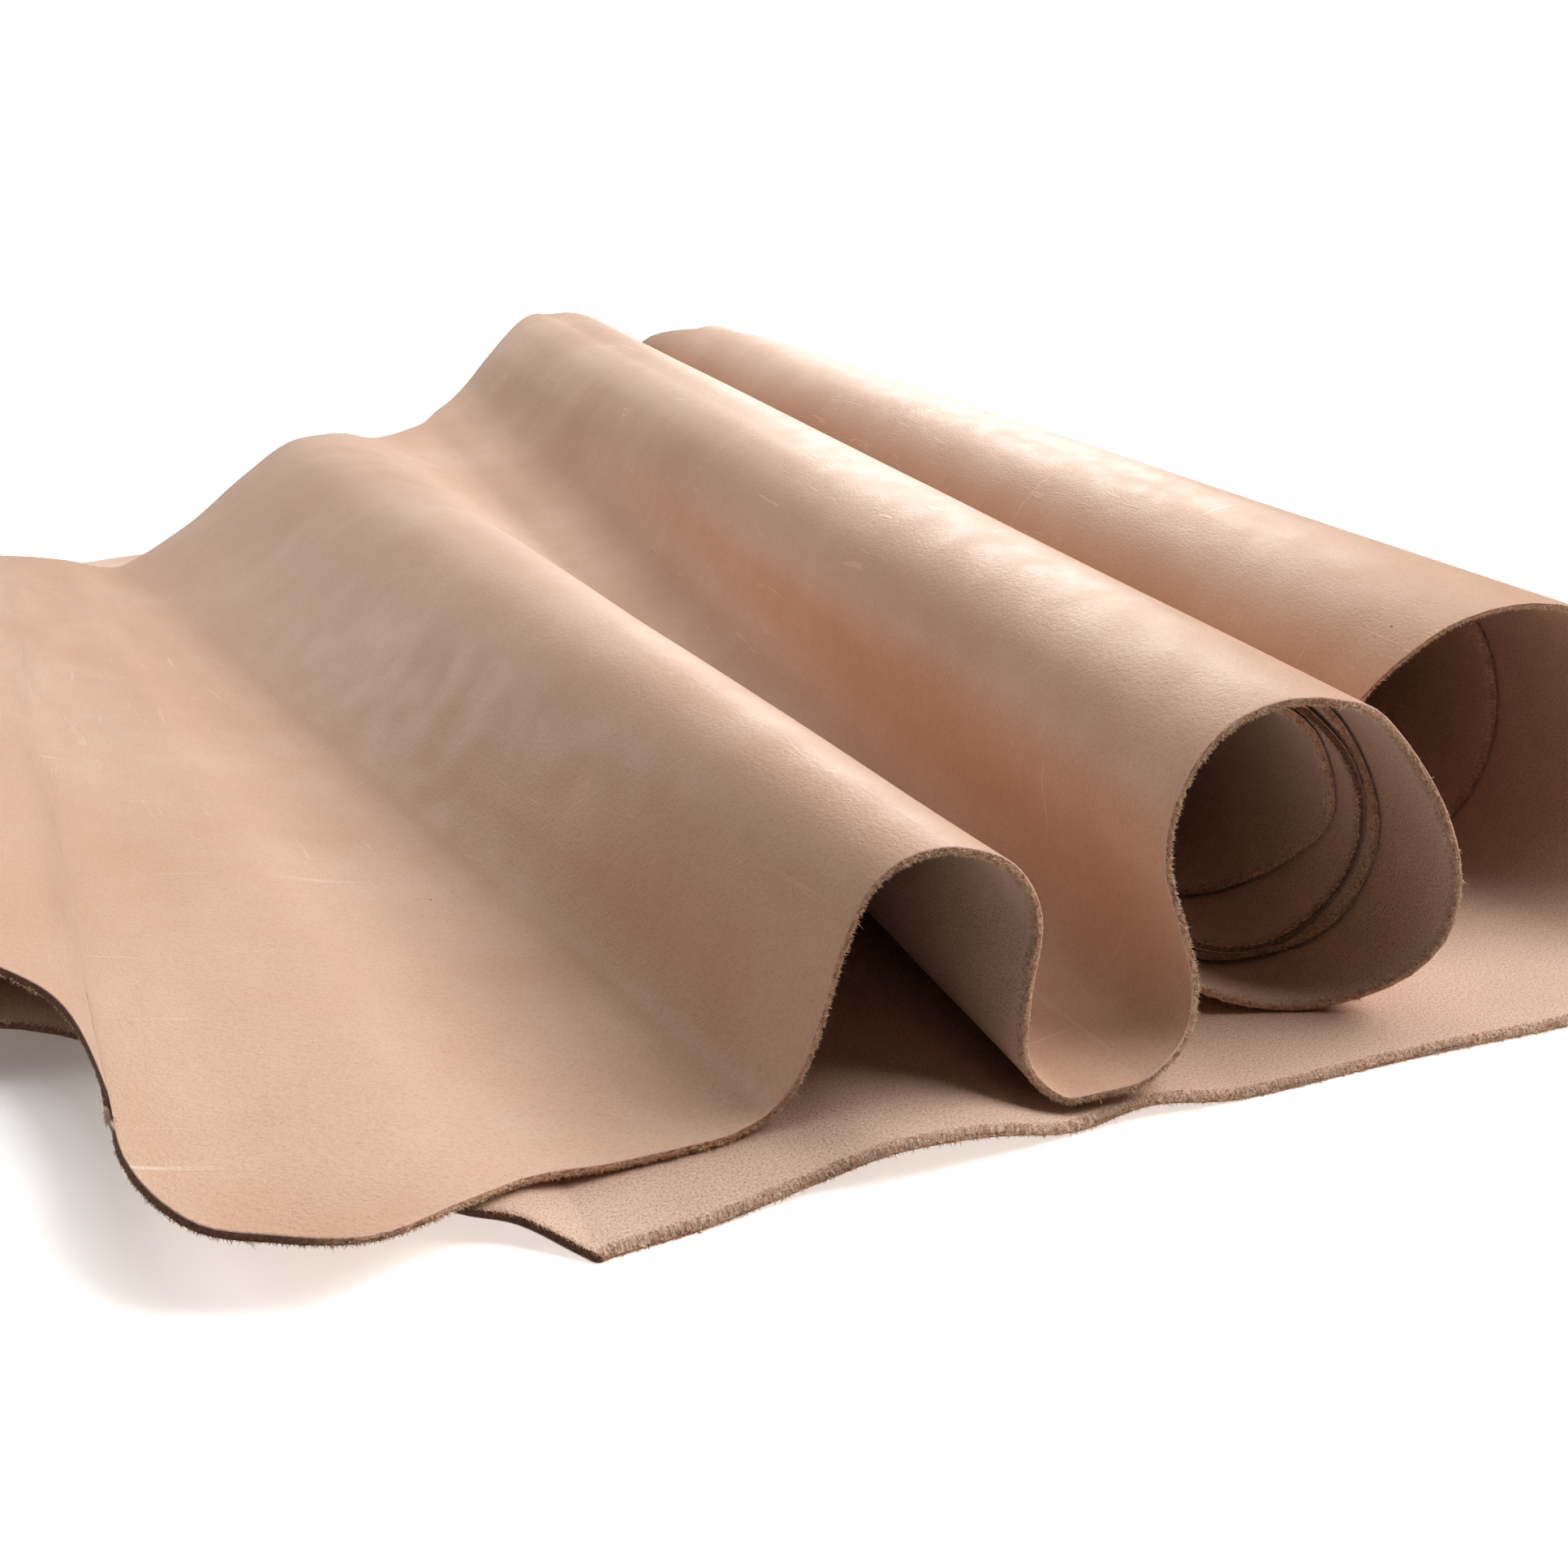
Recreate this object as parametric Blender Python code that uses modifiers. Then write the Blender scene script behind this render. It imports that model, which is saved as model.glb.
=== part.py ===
"""A side of natural vegetable-tanned leather, rolled inwards from both ends and folded over once.

The side is one sheet. Its bottom layer lies flesh side up. At the right it rises and curls back
into an open roll. At the left it lifts off the surface and folds over, and comes back grain side
up as a low part, a tall hump, a valley and a second roll that is wound four times.

Millimetres are used in the tables, from the near corner of the bottom layer: x runs to the right
across the rolls, y runs along them away from the near edge, and z is the height of the middle of
the leather. The finished sheet is centred over the origin and lies on z = 0.
"""

from math import cos, exp, radians, sin

import bpy
import numpy as np

MM = 0.001
THICKNESS = 2.4
LAYER_GAP = 1.2
TURN_PITCH = THICKNESS + LAYER_GAP
TURN_STEP = 15
STEPS_BETWEEN_FOLDS = 2
SHARP_ANGLE = 40

# Where the stations' rulings are cut, as shares of the way from the near edge to the far edge.
CUTS = (0.0, 0.03, 0.08, 0.16, 0.3, 0.48, 0.66, 0.84, 1.0)
# The share over which a lifted near edge comes back down.
LIFT_REACH = 0.35

# The folds between the two rolls, from right to left along the bottom layer and back on top.
# Columns: near x, near z, near y, far x, far z, far y, lift of the near edge.
BOTTOM_LAYER = (
    (273, 1.2, 28, 223, 1.2, 837, 0),
    (223, 1.2, 25, 163, 1.2, 837, 0),
    (173, 1.2, 20, 93, 1.2, 832, 0),
    (144, 1.2, 19, 53, 1.2, 827, 4),
    (123, 1.2, 17, 23, 1.2, 822, 1),
    (98, 1.2, 12, -7, 1.2, 817, 7),
    (73, 1.2, 10, -37, 1.2, 807, 8),
    (53, 1.2, 11, -62, 1.2, 797, 2),
    (25, 1.2, 5, -92, 1.2, 787, 0),
    (3, 1.2, 1, -119, 1.2, 778, 0),
    (0, 1.2, 0, -122, 1.2, 777, 0),
    (-3, 2, 2, -125, 1.2, 776, 0),
    (-16, 6, 11, -147, 1.2, 770, 0),
    (-33, 9, 18, -170, 1.2, 765, 0),
    (-72, 11.5, 62, -205, 1.2, 750, 0),
    (-127, 15, 108, -249, 3, 720, 0),
)
LEFT_FOLD = (
    (-185, 22, 122, -289, 10, 680, 0),
    (-209, 36, 132, -310, 21, 662, 0),
    (-185, 47, 129, -293, 32, 657, 0),
)
LOW_PART = (
    (-140, 31.5, 116, -273, 28.5, 657, 0),
    (-122, 26.6, 98, -262, 26.5, 659, 0),
    (-108, 25.2, 63, -254, 25, 663, 0),
    (-99, 24.6, 30, -248, 23.8, 665, 0),
    (-84, 22, 8, -242, 22.6, 666, 0),
    (-67, 19, 2, -236, 21.4, 667, 0),
    (-47, 17, -1, -230, 20.2, 668, 0),
    (-27, 13.9, 10, -223, 19, 668, 0),
    (-12, 8.6, 22, -217, 17.6, 668, 0),
    (6, 5.2, 27, -212, 16.6, 667, 0),
    (22, 4.8, 29, -206, 15.4, 664, 0),
    (36.5, 4.9, 31, -199, 14.6, 661, 0),
)
HUMP = (
    (48.5, 9, 33, -190, 14.7, 661, 0),
    (55.5, 19.5, 32, -181, 17.3, 668, 0),
    (60.4, 35, 31, -167, 23.7, 677, 0),
    (65, 52, 31, -147, 35.2, 689, 0),
    (72, 69, 30, -118, 57, 707, 0),
    (83, 76.5, 30, -91, 73.5, 725, 0),
    (95, 77, 29, -70, 76, 737, 0),
    (107, 71, 29, -57, 70.5, 777, 0),
    (114, 57, 28, -43, 60, 827, 0),
    (112, 35, 27, -30, 52, 887, 0),
    (112, 17, 25, -15, 50, 927, 0),
)
VALLEY_AND_RISE = (
    (121, 7, 22, -1, 51, 957, 0),
    (132, 7.5, 21, 11, 56, 987, 0),
    (144, 10.5, 20, 24, 61, 1012, 0),
    (156, 19, 24, 37, 69, 1037, 0),
    (160, 31, 29, 47, 78, 1049, 0),
    (158, 45, 34, 56, 87, 1059, 0),
    (154, 60, 38, 67, 97, 1069, 0),
    (155, 75, 40, 80, 107, 1088, 0),
    (162, 87.5, 43, 93, 115.5, 1105, 0),
    (173, 96, 45, 107, 120, 1120, 0),
)

# Each roll at two depths. Columns: depth y, centre x, centre z, radius to the middle of the
# leather at the start of the first turn, how far it is egg-shaped, and how far it sags.
OPEN_ROLL = (
    (80, 311, 52.3, 51.1, 0, 0),
    (1000, 260, 58.2, 57, 0, 0),
)
TIGHT_ROLL = (
    (50, 200, 51.8, 46.5, 5.5, 4.5),
    (1115, 136.5, 63.6, 58.2, 0, 0),
)
# Angles of the tight roll, from its left side by way of its top: its long side, the middle of
# the sag at its lower left, and how far round the sag reaches.
EGG_ANGLE = 60
SAG_ANGLE = 308
SAG_REACH = 24

# How deep both edges lie as a roll winds inwards. Columns: angle, near y, far y.
# The open roll's angle is counted from its bottom, by way of its right side.
OPEN_ROLL_EDGES = (
    (0, 32, 837),
    (45, 42, 842),
    (90, 62, 855),
    (135, 87, 885),
    (160, 97, 911),
    (176, 102, 945),
    (191, 105, 1007),
    (205, 108, 1066),
    (217, 109, 1103),
    (229, 111, 1140),
    (250, 117, 1150),
    (300, 129, 1140),
    (397, 148, 1110),
    (440, 159, 1095),
    (479, 171, 1085),
    (570, 192, 1060),
)
# The tight roll's angle is counted from its left side, by way of its top.
TIGHT_ROLL_EDGES = (
    (75, 44, 1125),
    (90, 41, 1118),
    (110, 45, 1108),
    (125, 48, 1105),
    (158, 42, 1108),
    (188, 38, 1115),
    (206, 37, 1115),
    (225, 41, 1112),
    (247, 49, 1108),
    (271, 54, 1105),
    (300, 58, 1102),
    (380, 62, 1095),
    (465, 72, 1090),
    (495, 70, 1088),
    (543, 68, 1086),
    (585, 71, 1082),
    (616, 77, 1079),
    (720, 75, 1075),
    (830, 74, 1070),
    (859, 67, 1068),
    (884, 68, 1067),
    (950, 75, 1064),
    (1080, 74, 1062),
    (1200, 72, 1060),
    (1249, 77, 1058),
    (1269, 80, 1058),
    (1297, 94, 1057),
    (1325, 105, 1056),
    (1395, 112, 1055),
)
OPEN_ROLL_ANGLES = (0, 570)
TIGHT_ROLL_ANGLES = (75, 1395)
# How far the rolls' axes lean to the left of the tables' y. The finished rolls lie along Y.
ROLL_LEAN = 3.35

LEATHER_COLOUR = (0.60, 0.39, 0.26, 1.0)
LEATHER_ROUGHNESS = 0.55


def roll_at(roll, y, angle):
    """A roll's centre at a depth, and the distance from there to the leather at an angle."""
    near, far = (np.array(end, float) for end in roll)
    x, z, radius, egg, sag = (near + (far - near) * (y - near[0]) / (far[0] - near[0]))[1:]
    radius += egg * cos(radians(2 * (angle - EGG_ANGLE)))
    radius += sag * exp(-(((angle % 360 - SAG_ANGLE) / SAG_REACH) ** 2))
    return x, z, radius - TURN_PITCH * angle / 360


def edge_depths(edges, angle):
    """The near and far y of a roll's leather at an angle."""
    angles, near_y, far_y = np.array(edges, float).T
    return np.interp(angle, angles, near_y), np.interp(angle, angles, far_y)


def roll_stations(roll, edges, angles, from_bottom):
    """A station every TURN_STEP degrees, from the outside of the roll to its inner end."""
    stations = []
    for angle in np.arange(angles[0], angles[1] + 1, TURN_STEP):
        station = []
        for y in edge_depths(edges, angle):
            x, z, radius = roll_at(roll, y, angle)
            across, up = radius * sin(radians(angle)), radius * cos(radians(angle))
            if from_bottom:
                station += [x + across, z - up, y]
            else:
                station += [x - up, z + across, y]
        stations.append(station + [0])
    return stations


def smoothed(stations, first, last, steps):
    """Adds stations between those from first to last, on a smooth curve through all of them."""
    points = np.array(stations, float)
    gaps = np.linalg.norm(np.diff(points[:, :2], axis=0), axis=1)
    gaps += np.linalg.norm(np.diff(points[:, 3:5], axis=0), axis=1)
    knots = np.concatenate([[0], np.cumsum(np.sqrt(gaps))])
    slopes = np.gradient(points, knots, axis=0)
    result = []
    for i in range(len(points) - 1):
        count = steps if first <= i < last else 1
        span = knots[i + 1] - knots[i]
        for t in np.arange(count) / count:
            result.append(
                (2 * t**3 - 3 * t**2 + 1) * points[i]
                + (t**3 - 2 * t**2 + t) * span * slopes[i]
                + (3 * t**2 - 2 * t**3) * points[i + 1]
                + (t**3 - t**2) * span * slopes[i + 1]
            )
    result.append(points[-1])
    return np.array(result)


def side_stations():
    """The whole sheet's stations, from the open roll's inner end to the tight roll's inner end."""
    opening = roll_stations(OPEN_ROLL, OPEN_ROLL_EDGES, OPEN_ROLL_ANGLES, True)[::-1]
    folds = [*BOTTOM_LAYER, *LEFT_FOLD, *LOW_PART, *HUMP, *VALLEY_AND_RISE]
    tight = roll_stations(TIGHT_ROLL, TIGHT_ROLL_EDGES, TIGHT_ROLL_ANGLES, False)
    first = len(opening) - 1
    stations = opening + [list(fold) for fold in folds] + tight
    return smoothed(stations, first, first + len(folds) + 1, STEPS_BETWEEN_FOLDS)


def sheet_points(stations, cuts):
    """Points of the middle of the leather, a row for each station and a column for each cut."""
    near = stations[:, None, [0, 2, 1]]
    far = stations[:, None, [3, 5, 4]]
    share = np.array(cuts)[None, :, None]
    points = near + (far - near) * share
    lift = stations[:, None, 6] * np.clip(1 - share[..., 0] / LIFT_REACH, 0, 1) ** 2
    points[..., 2] = np.maximum(points[..., 2] + lift, THICKNESS / 2)
    return points * MM


def open_sheet(name, points):
    """A mesh of four-sided faces through a grid of points, flesh side facing out."""
    rows, columns, _ = points.shape
    index = np.arange(rows * columns).reshape(rows, columns)
    corners = (index[:-1, :-1], index[:-1, 1:], index[1:, 1:], index[1:, :-1])
    faces = np.stack([corner.ravel() for corner in corners], axis=1)
    mesh = bpy.data.meshes.new(name)
    mesh.from_pydata(points.reshape(-1, 3).tolist(), [], faces.tolist())
    mesh.validate()
    return mesh


def leather_material():
    material = bpy.data.materials.new("natural leather")
    material.use_nodes = True
    surface = material.node_tree.nodes["Principled BSDF"]
    surface.inputs["Base Color"].default_value = LEATHER_COLOUR
    surface.inputs["Roughness"].default_value = LEATHER_ROUGHNESS
    surface.inputs["Metallic"].default_value = 0.0
    return material


def placed(points):
    """The points turned so that the rolls lie along Y, and centred over the origin."""
    lean = radians(ROLL_LEAN)
    x, y = points[..., 0].copy(), points[..., 1].copy()
    points[..., 0] = x * cos(lean) + y * sin(lean)
    points[..., 1] = y * cos(lean) - x * sin(lean)
    for axis in (0, 1):
        side = points[..., axis]
        side -= (side.min() + side.max()) / 2
    return points


def add_leather_side(collection):
    points = placed(sheet_points(side_stations(), CUTS))
    side = bpy.data.objects.new("leather_side", open_sheet("leather_side", points))
    collection.objects.link(side)
    side.data.materials.append(leather_material())
    side.data.shade_smooth()
    thicken = side.modifiers.new("thickness", "SOLIDIFY")
    thicken.thickness = THICKNESS * MM
    thicken.offset = 0.0
    thicken.use_even_offset = True
    side.data.set_sharp_from_angle(angle=radians(SHARP_ANGLE))
    return side


def main():
    for obj in list(bpy.data.objects):
        bpy.data.objects.remove(obj)
    collection = bpy.data.collections.new("leather side")
    bpy.context.scene.collection.children.link(collection)
    add_leather_side(collection)


main()
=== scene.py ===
"""The looks of the leather side: its grain, its napped flesh side, its cut edges and their fibres.

The fine sheet below follows the same folds as the part's solid, from the same tables, and
stands for it. A material reads each point's place on the flat hide, so grain, scratches and
creases follow the leather round its rolls.
"""

from math import cos, exp, pi, radians, sin

import bpy
import numpy as np
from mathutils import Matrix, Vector


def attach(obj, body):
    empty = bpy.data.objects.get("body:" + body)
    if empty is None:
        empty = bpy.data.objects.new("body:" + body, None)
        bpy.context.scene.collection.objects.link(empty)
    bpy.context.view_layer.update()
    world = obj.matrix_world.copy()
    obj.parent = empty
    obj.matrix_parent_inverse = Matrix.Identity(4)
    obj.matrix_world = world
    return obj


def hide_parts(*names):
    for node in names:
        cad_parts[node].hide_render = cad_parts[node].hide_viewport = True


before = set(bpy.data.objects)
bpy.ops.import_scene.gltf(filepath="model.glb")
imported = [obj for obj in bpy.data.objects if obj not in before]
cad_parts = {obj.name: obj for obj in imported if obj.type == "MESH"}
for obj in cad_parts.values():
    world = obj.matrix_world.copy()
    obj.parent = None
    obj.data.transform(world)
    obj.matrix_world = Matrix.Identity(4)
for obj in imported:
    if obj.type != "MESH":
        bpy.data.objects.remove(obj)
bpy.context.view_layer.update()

# The sheet's folds and rolls, as in the part, in millimetres from the bottom layer's corner.
MM = 0.001
THICKNESS = 2.4
LAYER_GAP = 1.2
TURN_PITCH = THICKNESS + LAYER_GAP
TURN_STEP = 15

# The share over which a lifted near edge comes back down.
LIFT_REACH = 0.35

# The folds between the two rolls, from right to left along the bottom layer and back on top.
# Columns: near x, near z, near y, far x, far z, far y, lift of the near edge.
BOTTOM_LAYER = (
    (273, 1.2, 28, 223, 1.2, 837, 0),
    (223, 1.2, 25, 163, 1.2, 837, 0),
    (173, 1.2, 20, 93, 1.2, 832, 0),
    (144, 1.2, 19, 53, 1.2, 827, 4),
    (123, 1.2, 17, 23, 1.2, 822, 1),
    (98, 1.2, 12, -7, 1.2, 817, 7),
    (73, 1.2, 10, -37, 1.2, 807, 8),
    (53, 1.2, 11, -62, 1.2, 797, 2),
    (25, 1.2, 5, -92, 1.2, 787, 0),
    (3, 1.2, 1, -119, 1.2, 778, 0),
    (0, 1.2, 0, -122, 1.2, 777, 0),
    (-3, 2, 2, -125, 1.2, 776, 0),
    (-16, 6, 11, -147, 1.2, 770, 0),
    (-33, 9, 18, -170, 1.2, 765, 0),
    (-72, 11.5, 62, -205, 1.2, 750, 0),
    (-127, 15, 108, -249, 3, 720, 0),
)
LEFT_FOLD = (
    (-185, 22, 122, -289, 10, 680, 0),
    (-209, 36, 132, -310, 21, 662, 0),
    (-185, 47, 129, -293, 32, 657, 0),
)
LOW_PART = (
    (-140, 31.5, 116, -273, 28.5, 657, 0),
    (-122, 26.6, 98, -262, 26.5, 659, 0),
    (-108, 25.2, 63, -254, 25, 663, 0),
    (-99, 24.6, 30, -248, 23.8, 665, 0),
    (-84, 22, 8, -242, 22.6, 666, 0),
    (-67, 19, 2, -236, 21.4, 667, 0),
    (-47, 17, -1, -230, 20.2, 668, 0),
    (-27, 13.9, 10, -223, 19, 668, 0),
    (-12, 8.6, 22, -217, 17.6, 668, 0),
    (6, 5.2, 27, -212, 16.6, 667, 0),
    (22, 4.8, 29, -206, 15.4, 664, 0),
    (36.5, 4.9, 31, -199, 14.6, 661, 0),
)
HUMP = (
    (48.5, 9, 33, -190, 14.7, 661, 0),
    (55.5, 19.5, 32, -181, 17.3, 668, 0),
    (60.4, 35, 31, -167, 23.7, 677, 0),
    (65, 52, 31, -147, 35.2, 689, 0),
    (72, 69, 30, -118, 57, 707, 0),
    (83, 76.5, 30, -91, 73.5, 725, 0),
    (95, 77, 29, -70, 76, 737, 0),
    (107, 71, 29, -57, 70.5, 777, 0),
    (114, 57, 28, -43, 60, 827, 0),
    (112, 35, 27, -30, 52, 887, 0),
    (112, 17, 25, -15, 50, 927, 0),
)
VALLEY_AND_RISE = (
    (121, 7, 22, -1, 51, 957, 0),
    (132, 7.5, 21, 11, 56, 987, 0),
    (144, 10.5, 20, 24, 61, 1012, 0),
    (156, 19, 24, 37, 69, 1037, 0),
    (160, 31, 29, 47, 78, 1049, 0),
    (158, 45, 34, 56, 87, 1059, 0),
    (154, 60, 38, 67, 97, 1069, 0),
    (155, 75, 40, 80, 107, 1088, 0),
    (162, 87.5, 43, 93, 115.5, 1105, 0),
    (173, 96, 45, 107, 120, 1120, 0),
)

# Each roll at two depths. Columns: depth y, centre x, centre z, radius to the middle of the
# leather at the start of the first turn, how far it is egg-shaped, and how far it sags.
OPEN_ROLL = (
    (80, 311, 52.3, 51.1, 0, 0),
    (1000, 260, 58.2, 57, 0, 0),
)
TIGHT_ROLL = (
    (50, 200, 51.8, 46.5, 5.5, 4.5),
    (1115, 136.5, 63.6, 58.2, 0, 0),
)
# Angles of the tight roll, from its left side by way of its top: its long side, the middle of
# the sag at its lower left, and how far round the sag reaches.
EGG_ANGLE = 60
SAG_ANGLE = 308
SAG_REACH = 24

# How deep both edges lie as a roll winds inwards. Columns: angle, near y, far y.
# The open roll's angle is counted from its bottom, by way of its right side.
OPEN_ROLL_EDGES = (
    (0, 32, 837),
    (45, 42, 842),
    (90, 62, 855),
    (135, 87, 885),
    (160, 97, 911),
    (176, 102, 945),
    (191, 105, 1007),
    (205, 108, 1066),
    (217, 109, 1103),
    (229, 111, 1140),
    (250, 117, 1150),
    (300, 129, 1140),
    (397, 148, 1110),
    (440, 159, 1095),
    (479, 171, 1085),
    (570, 192, 1060),
)
# The tight roll's angle is counted from its left side, by way of its top.
TIGHT_ROLL_EDGES = (
    (75, 44, 1125),
    (90, 41, 1118),
    (110, 45, 1108),
    (125, 48, 1105),
    (158, 42, 1108),
    (188, 38, 1115),
    (206, 37, 1115),
    (225, 41, 1112),
    (247, 49, 1108),
    (271, 54, 1105),
    (300, 58, 1102),
    (380, 62, 1095),
    (465, 72, 1090),
    (495, 70, 1088),
    (543, 68, 1086),
    (585, 71, 1082),
    (616, 77, 1079),
    (720, 75, 1075),
    (830, 74, 1070),
    (859, 67, 1068),
    (884, 68, 1067),
    (950, 75, 1064),
    (1080, 74, 1062),
    (1200, 72, 1060),
    (1249, 77, 1058),
    (1269, 80, 1058),
    (1297, 94, 1057),
    (1325, 105, 1056),
    (1395, 112, 1055),
)
OPEN_ROLL_ANGLES = (0, 570)
TIGHT_ROLL_ANGLES = (75, 1395)
# How far the rolls' axes lean to the left of the tables' y. The finished rolls lie along Y.
ROLL_LEAN = 3.35

# How finely the looks follow the folds: steps to each stretch of a roll and to each fold.
FINE_TURN_STEPS = 2
FINE_FOLD_STEPS = 6
# The spacing of the fine cuts across the hide, in metres on a hide one metre wide, and the
# extra cuts beside each edge, where the nap rolls over.
NEAR_SPACING, FAR_SPACING, FINE_CUTS = 0.004, 0.022, 68
EDGE_CUTS = (0.0004, 0.0012, 0.0028)

# Rows of the tables where the near cut turns from rough to clean and dark, and back.
BOTTOM_CORNER_ROW = 10
TOP_CORNER_ROW = 6
# The turn of the tight roll whose edge is clean, in degrees.
CLEAN_TURN = (790, 1110)

# Soft unevenness of the whole hide. Columns: wave along, wave across, height, shift.
SWELLS = (
    (0.31, 0.90, 0.28, 0.4),
    (0.17, -0.55, 0.22, 2.1),
    (0.113, 0.31, 0.16, 4.4),
    (0.071, -0.19, 0.10, 1.3),
    (0.043, 0.11, 0.05, 3.7),
)
SWELL_IN_ROLLS = 0.4

# The cut edge's profile. Columns: share of the thickness from the flesh side, how far it stands
# out and how uneven it is, in millimetres.
EDGE_PROFILE = (
    (0.04, 0.12, 0.30),
    (0.18, 0.30, 0.36),
    (0.40, 0.34, 0.28),
    (0.64, 0.24, 0.16),
    (0.84, 0.26, 0.06),
    (0.96, 0.14, 0.02),
)
# How far the nap rolls over at a rough edge and how deep, and its share on the top layer's near
# cut and on the far cut.
NAP_REACH, NAP_DROP = 2.4, 1.6
TOP_ROLL_OVER, FAR_ROLL_OVER = 0.25, 0.4

# How uneven a clean cut is beside a rough one, and how rough the far cut is.
CLEAN_UNEVEN, FAR_ROUGH = 0.25, 0.6

# The fibres: how many there are to a millimetre of a rough cut, a clean cut and the far cut, and
# their lengths and radius in millimetres. There is fuzz all over the cuts, fuzz of the nap beside
# the near cut, and tufts of hairs that have one bend, of which a few are long strays.
FUZZ, FUZZ_LENGTH, FUZZ_RADIUS = (9.0, 5.0, 3.0), (0.4, 1.4), 0.12
NAP_FUZZ = (8.0, 0.8, 0)
TUFTS, TUFT_HAIRS, TUFT_SPREAD = (0.5, 0.2, 0.15), (4, 9), 0.2
HAIR_LENGTH, HAIR_RADIUS, HAIR_TAPER = (0.8, 2.1), 0.085, 0.75
STRAY_SHARE, STRAY_LENGTH = 0.015, 3.4
# Where they are rooted: the deepest share of the thickness, the spread of fuzz and of tufts over
# it, how much shallower they are in a clean cut, and how far out they start, in millimetres.
ROOT_DEEPEST, FUZZ_DEPTHS, TUFT_DEPTHS = 0.95, (1.0, 1.9), (1.2, 1.6)
CLEAN_SHALLOW, ROOT_OUT = 0.85, 0.1
# How they lean, as shares of the way straight out: to the flesh side, and along the cut.
FUZZ_LEAN_UP, FUZZ_FAN, FUZZ_LEAN_ALONG = 0.45, 0.5, 0.7
TUFT_LEAN_UP, TUFT_LEAN_ALONG, TUFT_FAN = 0.35, 0.6, 0.25
# The nap's fuzz: how it crowds at the cut, how deep it starts, and its direction and spread.
NAP_CROWDING, NAP_ROOT_DEPTH = 1.6, 0.05
NAP_OUT, NAP_UP, NAP_UP_SPREAD, NAP_ALONG = 0.7, 0.55, 0.3, 0.6
# The lengths of the hairs in one tuft beside its own length, and how they bend.
TUFT_LENGTHS, TUFT_BEND, BEND_SPREAD = (0.6, 1.1), 0.5, 0.3
# The corners round a fibre, in radians, and a direction that no fibre has.
SPOKES = (0, 2.1, 4.2)
ASKEW = (0.31, 0.52, 0.79)

# The photo's camera: focal length and horizon in the photo's pixels, height above the surface,
# and where it stands in the tables' frame.
PHOTO_SIZE = 1932
FOCAL_PIXELS = 1800
HORIZON_PIXEL = 240
CAMERA_HEIGHT = 0.22
CAMERA_PLACE = (-0.027, -0.263)
CAMERA_HEADING = 14.8
SENSOR_MM = 36

# The studio's soft boxes. Columns: name, place, size of the square in metres, and power in watts.
SOFT_BOXES = (
    ("back right", (0.75, 1.00, 0.72), 0.7, 8.5),
    ("front right", (1.00, -0.64, 1.12), 0.9, 14.0),
    ("over", (0.20, -0.30, 1.30), 0.8, 3.0),
    ("back", (0.00, 1.30, 1.30), 0.7, 3.3),
    ("left", (-1.30, -0.10, 0.90), 0.9, 4.4),
    ("left back", (-0.92, 0.92, 0.35), 0.6, 2.4),
)
# Even lights: name, where it comes from, its softness in degrees and its strength.
EVEN_LIGHTS = (
    ("side", (0.69, 0.0, 0.72), 42, 0.80),
    ("low left", (-0.69, 0.69, 0.25), 40, 0.08),
    ("low back", (0.0, 0.97, 0.24), 40, 0.09),
)
STUDIO_GLOW = 0.03
CONTRAST = "Medium High Contrast"
# The white floor: what it gives back to the leather and to the camera, which sees it overexposed,
# and its own glow to the camera. The glow is painted light that whitens the floor's shadows; it is
# weak near the hide's shaded corner, where the shadow shows, and warm near the hide as painted
# warm bounce light.
FLOOR_BOUNCE, FLOOR_SEEN = (0.72, 0.72, 0.72, 1), (1.3, 1.3, 1.3, 1)
SHADE_AT, SHADE_FROM, SHADE_TO = (-0.30, -0.42, 0.0), 0.10, 0.27
SHADE_GLOW, NEAR_GLOW = 0.12, 0.6
WARM_BOUNCE_GLOW, WHITE_GLOW = (1.0, 0.90, 0.84, 1), (1, 1, 1, 1)
WHITE_FROM, WHITE_TO = 0.7, 2.2

FLOOR_REACH, FLOOR_BELOW = 12, 0.0003
CLIP_START = 0.01

# Colours as they look on the screen, 0 to 255. The grain side and the marks on it:
GRAIN_SHADE, GRAIN_LIGHT, GRAIN_BLOTCH = (204, 167, 141), (214, 181, 157), (202, 158, 128)
PORE, CURL, SPECK = (150, 105, 75), (168, 124, 96), (92, 58, 40)
SCRATCH, WRINKLE = (242, 224, 208), (238, 214, 196)
# The flesh side and its nap, with painted shade in the nap's hollows and furrows and painted light
# on its tips:
FLESH_SHADE, FLESH_LIGHT = (220, 187, 167), (232, 202, 181)
NAP_HOLLOW_SHADE, NAP_TIP_LIGHT, NAP_FURROW_SHADE = (154, 120, 98), (246, 226, 208), (156, 114, 86)
# The cut where it is rough and where it is clean, its grain line, and the fibres:
ROUGH_SHADE, ROUGH_LIGHT, ROUGH_CLUMP = (196, 142, 112), (246, 204, 172), (124, 78, 58)
CLEAN_SHADE, CLEAN_LIGHT, GRAIN_LINE = (118, 82, 66), (172, 134, 112), (238, 204, 188)
FIBRE_SHADE, FIBRE_LIGHT = (232, 184, 150), (255, 234, 208)
SHEEN_TINT = (1.0, 0.84, 0.72, 1)

# The sheet's finishes, in the order of its materials.
FLESH, GRAIN, CUT = 0, 1, 2

SEED = 7


def roll_at(roll, y, angle):
    """A roll's centre at a depth, and the distance from there to the leather at an angle."""
    near, far = (np.array(end, float) for end in roll)
    x, z, radius, egg, sag = (near + (far - near) * (y - near[0]) / (far[0] - near[0]))[1:]
    radius += egg * cos(radians(2 * (angle - EGG_ANGLE)))
    radius += sag * exp(-(((angle % 360 - SAG_ANGLE) / SAG_REACH) ** 2))
    return x, z, radius - TURN_PITCH * angle / 360


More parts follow.
